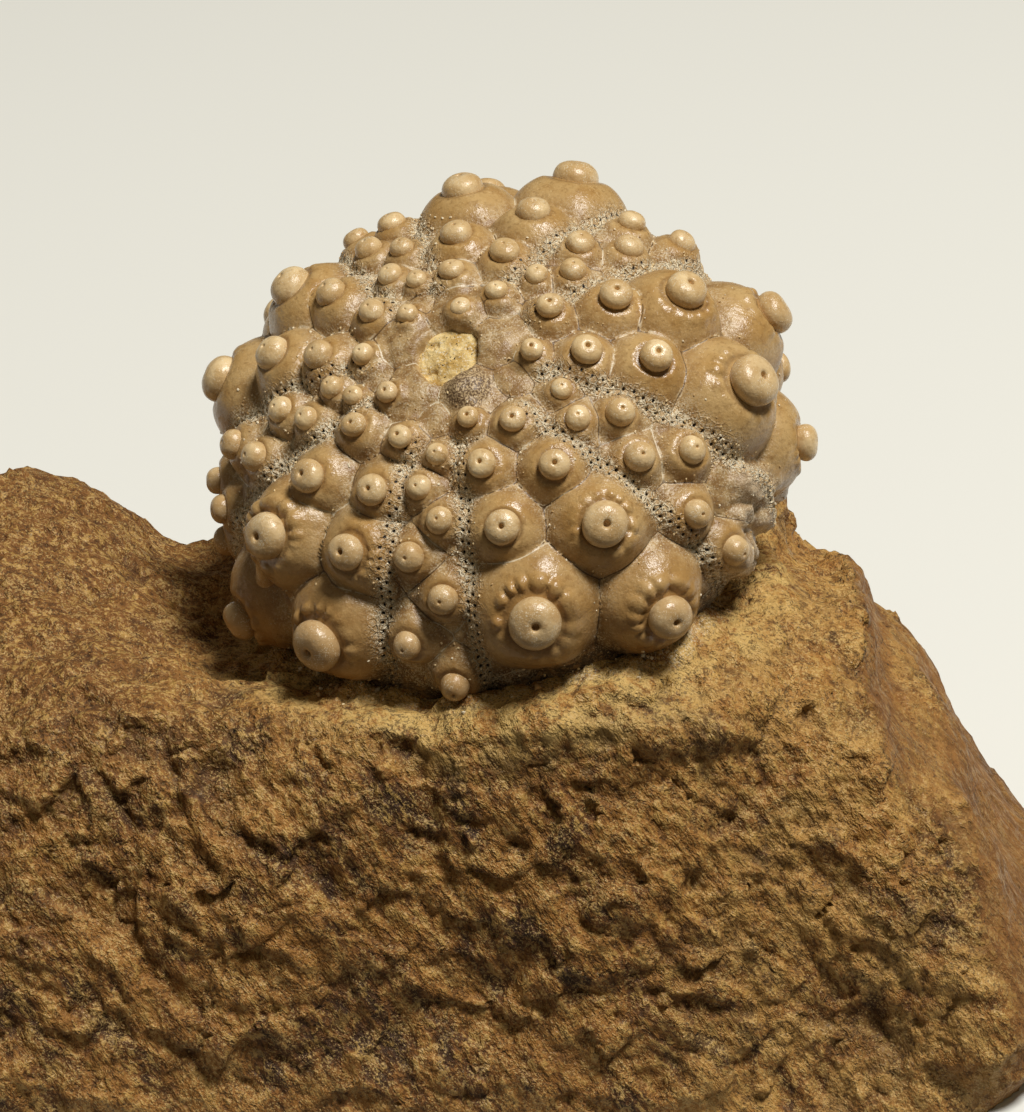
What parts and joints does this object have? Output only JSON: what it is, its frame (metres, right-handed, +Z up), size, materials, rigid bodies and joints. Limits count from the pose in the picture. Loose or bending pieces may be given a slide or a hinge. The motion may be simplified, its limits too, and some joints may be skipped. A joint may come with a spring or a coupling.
{
  "type": "fossil sea urchin on matrix rock",
  "caption": "Fossil sea urchin test with rows of knobbed bosses, still set in its block of ochre matrix rock, with a flat underside to stand on.",
  "frame": {"origin": "bottom centre of the bounding box, on the flat underside of the block", "axes": "+Z up, the block's front and the urchin's best side face -Y, the block's long side runs along X"},
  "size_m": [0.0774, 0.0504, 0.0548],
  "materials": {
    "urchin_test": "satin",
    "matrix_rock": "rough",
    "periproct_sediment": "rough"
  },
  "bodies": {
    "root": {"urchin_test": "urchin_test", "matrix_rock": "matrix_rock", "periproct_sediment": "periproct_sediment"}
  },
  "joints": []
}
